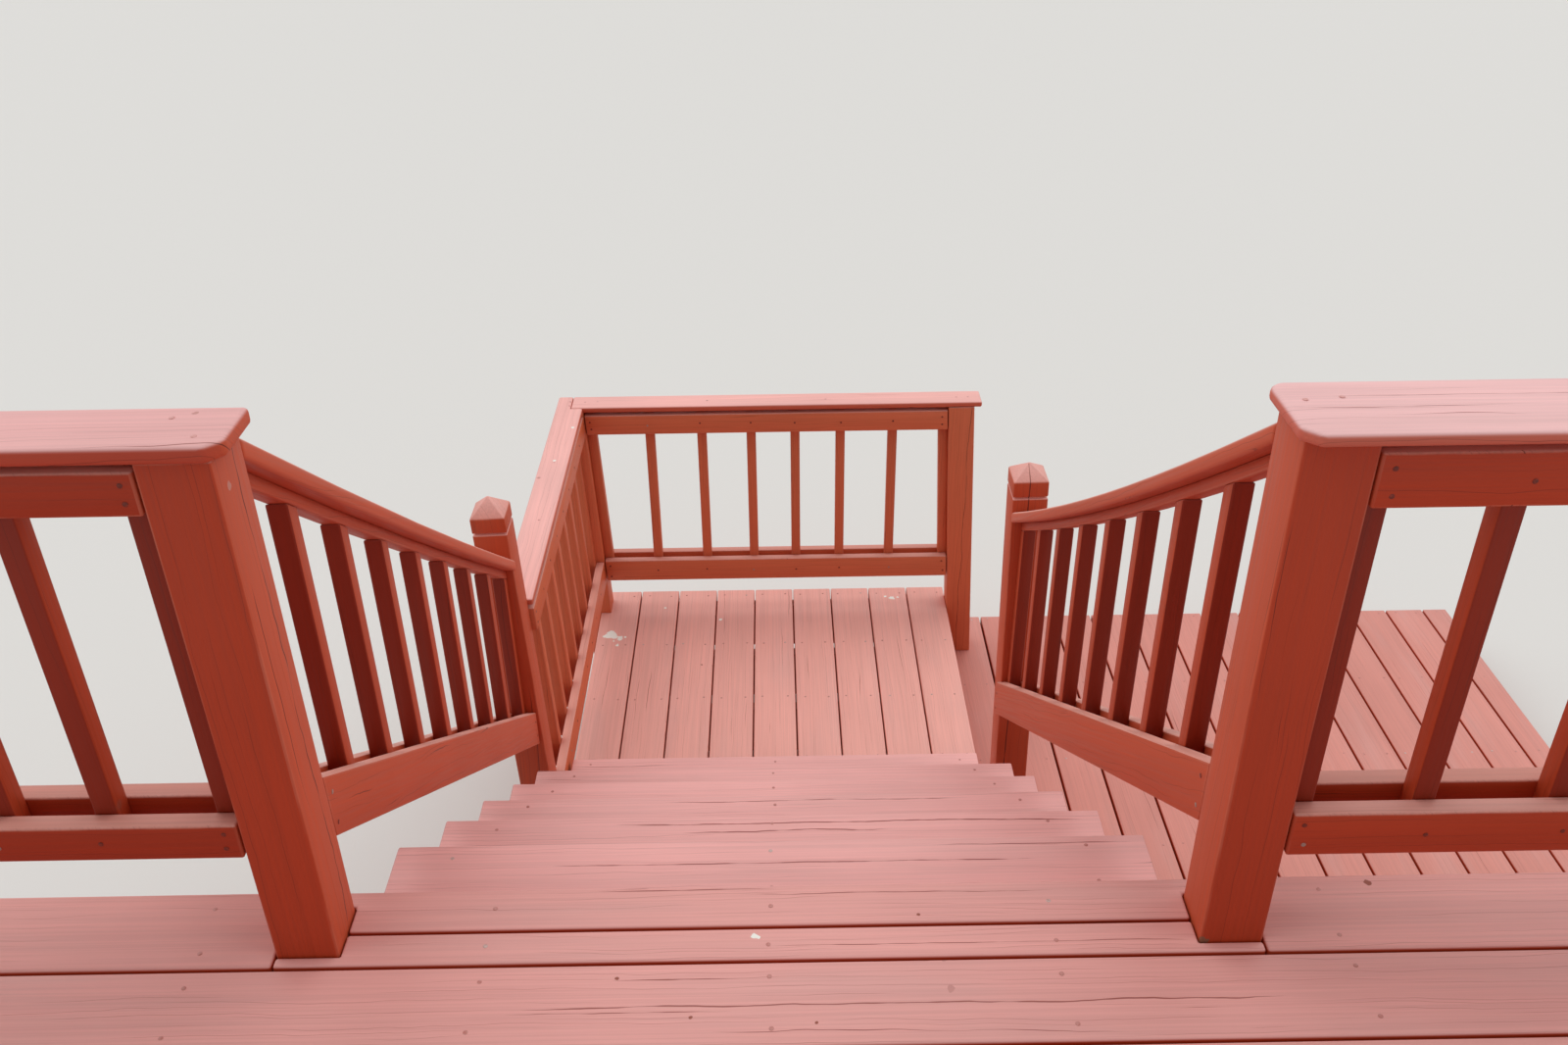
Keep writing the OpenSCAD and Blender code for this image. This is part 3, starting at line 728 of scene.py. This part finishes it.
def board_nails(node, across, lines):
    """Two nails, or one on a narrow board, wherever a node's boards cross the lines that carry them."""
    found = []
    along = 1 - across
    for low, high in solids[node]:
        if high[across] - low[across] < NARROW_BOARD:
            rows = [middle((low, high), across)]
        else:
            rows = [low[across] + NAIL_FROM_EDGE, high[across] - NAIL_FROM_EDGE]
        for row in rows:
            for line in lines:
                if low[along] < line < high[along]:
                    point = [0.0, 0.0, high.z]
                    point[across] = row
                    point[along] = line
                    found.append((point, UP, node))
    return found


deck_low, deck_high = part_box("deck_boards")
deck_lines = sorted([middle(box, 0) for box in solids["deck_joists"]]
                    + [deck_low.x + JOIST_T / 2, deck_high.x - JOIST_T / 2])
nails("deck_board_nails", TOP_NAILS, board_nails("deck_boards", 1, deck_lines))

stringers = [middle(solids[f"stringer_{side}"][0], 0) for side in ("left", "middle", "right")]
nails("tread_nails", TOP_NAILS,
      [place for tread in TREADS for place in board_nails(tread, 1, stringers)])

nails("landing_board_nails", TOP_NAILS,
      board_nails("landing_boards", 0, joist_lines("landing_frame", LANDING_BAYS)))
nails("low_deck_nails", TOP_NAILS,
      board_nails("low_deck_boards", 0, joist_lines("low_deck_frame", LOW_DECK_BAYS)))

# Heights of the two nails in a rail's end and of the one at a stick, as shares of its depth
NAIL_SHARES = (0.26, 0.72)
STICK_SHARE = 0.5
# A stick nearer than this to a rail's end has no nail of its own
STICK_FROM_END = 0.05
# Depth of a sloping bottom rail, plumb, and its fall as a share of its whole height
BOTTOM_RAIL_DEPTH = 0.109
BOTTOM_RAIL_FALL = 0.91


def rail_nails(rails, sticks, along, outward_axis):
    """Two nails in each end of a rail and one at each stick, on the rail's outer face."""
    found = []
    half_way = sum(middle(box, outward_axis) for box in solids[rails]) / len(solids[rails])
    for low, high in solids[rails]:
        outward = [0.0, 0.0, 0.0]
        outward[outward_axis] = 1.0 if middle((low, high), outward_axis) > half_way else -1.0
        face = high if outward[outward_axis] > 0 else low
        ends = (low[along] + NAIL_FROM_END, high[along] - NAIL_FROM_END)
        spots = [(end, share) for end in ends for share in NAIL_SHARES]
        spots += [(middle(box, along), STICK_SHARE) for box in solids[sticks]
                  if low[along] + STICK_FROM_END < middle(box, along) < high[along] - STICK_FROM_END]
        for at, share in spots:
            point = [0.0, 0.0, low.z + share * (high.z - low.z)]
            point[along] = at
            point[outward_axis] = face[outward_axis]
            found.append((point, outward, rails))
    return found


def bottom_rail_nails(side):
    """Two nails in each end of a pair of sloping bottom rails, on their outer faces."""
    found = []
    rails = f"bottom_rails_{side}"
    half_way = middle(solids[f"subrail_{side}"][0], 0)
    for low, high in solids[rails]:
        outward = 1.0 if middle((low, high), 0) > half_way else -1.0
        face = high.x if outward > 0 else low.x
        fall = (high.z - low.z) / (high.y - low.y) * BOTTOM_RAIL_FALL
        for share in NAIL_SHARES:
            for y in (low.y + NAIL_FROM_END, high.y - NAIL_FROM_END):
                z = high.z - BOTTOM_RAIL_DEPTH * (1 - share) - fall * (y - low.y)
                found.append(((face, y, z), (outward, 0.0, 0.0), rails))
    return found


places = []
for side in ("left", "right"):
    places += rail_nails(f"guard_rails_{side}", f"guard_balusters_{side}", 0, 1)
places += rail_nails("landing_rails_far", "landing_balusters_far", 0, 1)
places += rail_nails("landing_rails_left", "landing_balusters_left", 1, 0)
for side in ("left", "right"):
    places += bottom_rail_nails(side)
nails("rail_nails", SIDE_NAILS, places)

# Caps are nailed down into each post and a few times along each rail: distances from the middle
# of the stairs, and shares of a landing cap's length
GUARD_CAP_NAILS = (0.632, 0.676, 1.10, 1.54, 1.98, 2.40, 2.566, 2.610)
LANDING_CAP_NAILS = (0.03, 0.06, 0.33, 0.62, 0.94, 0.97)
NAIL_OFF_MIDDLE = 0.022

places = []
for side, sign in (("left", -1), ("right", 1)):
    cap_low, cap_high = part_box(f"guard_cap_{side}")
    for x in GUARD_CAP_NAILS:
        y = middle((cap_low, cap_high), 1) + random.choice((-1, 1)) * NAIL_OFF_MIDDLE
        places.append(((sign * x, y, cap_high.z), UP, f"guard_cap_{side}"))
for low, high in solids["landing_caps"]:
    along = longest(high - low)
    for share in LANDING_CAP_NAILS:
        point = [middle((low, high), 0), middle((low, high), 1), high.z]
        point[along] = low[along] + share * (high[along] - low[along])
        places.append((point, UP, "landing_caps"))
nails("cap_nails", CAP_NAILS, places)

# Stage: a plain pale floor under a soft overcast sky
FLOOR_PALE = "#DEDCD7"
FLOOR_SIZE = 120.0
FLOOR_ROUGHNESS = 0.9


def make_floor():
    """A wide matt floor at the foot of the posts."""
    bpy.ops.mesh.primitive_plane_add(size=FLOOR_SIZE, location=(0.0, 0.0, 0.0))
    floor = bpy.context.object
    floor.name = "pale_floor"
    material, tree, shader = new_finish("pale_floor")
    feed(tree, shader, {"Base Color": FLOOR_PALE, "Roughness": FLOOR_ROUGHNESS})
    floor.data.materials.append(material)


# Soft sky from both sides and beyond; the side towards the raised deck is the dimmer one
SKY = "#F6F7FA"
SKY_STRENGTH = 0.52
SKY_SUNS = [("sky_left", (-0.75, 0.35, 0.80), 1.15), ("sky_right", (0.75, 0.35, 0.80), 1.15)]
SKY_SPREAD = math.radians(75)


def make_light():
    """The overcast sky, and two wide suns for its brighter parts."""
    world = bpy.data.worlds.new("overcast")
    bpy.context.scene.world = world
    world.use_nodes = True
    feed(world.node_tree, world.node_tree.nodes["Background"], {"Color": SKY, "Strength": SKY_STRENGTH})
    for name, towards, strength in SKY_SUNS:
        sun = bpy.data.lights.new(name, "SUN")
        sun.energy = strength
        sun.angle = SKY_SPREAD
        lamp = bpy.data.objects.new(name, sun)
        bpy.context.scene.collection.objects.link(lamp)
        lamp.rotation_euler = Vector(towards).to_track_quat("Z", "Y").to_euler()


make_floor()
make_light()
